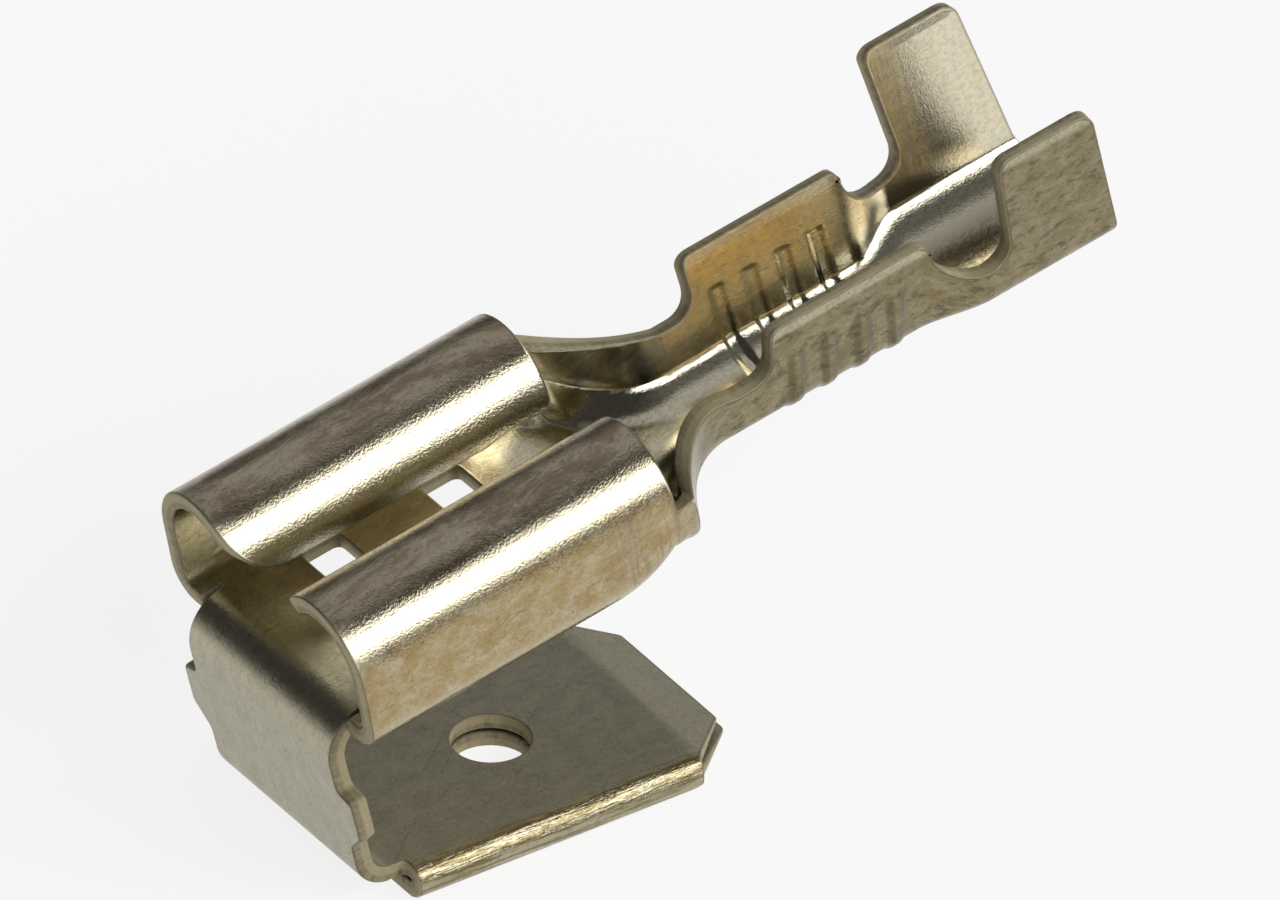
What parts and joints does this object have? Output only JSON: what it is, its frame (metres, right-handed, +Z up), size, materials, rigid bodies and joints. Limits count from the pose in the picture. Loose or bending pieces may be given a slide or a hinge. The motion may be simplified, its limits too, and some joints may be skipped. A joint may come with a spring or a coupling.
{
  "type": "piggyback spade terminal",
  "caption": "Piggyback push-on terminal folded from plated brass strip: a rolled receptacle with open crimp barrels behind it stands over a flat male tab, so a second lead can be added.",
  "frame": {"origin": "axis of the hole in the male tab, at the tab's underside", "axes": "+X along the tab towards its tip and the cable, +Y across the tab, +Z up from the tab to the receptacle"},
  "size_m": [0.0203, 0.0074, 0.0126],
  "materials": {
    "plated_brass": "tin plated, tarnished"
  },
  "bodies": {
    "root": {"terminal": "plated_brass"}
  },
  "joints": []
}
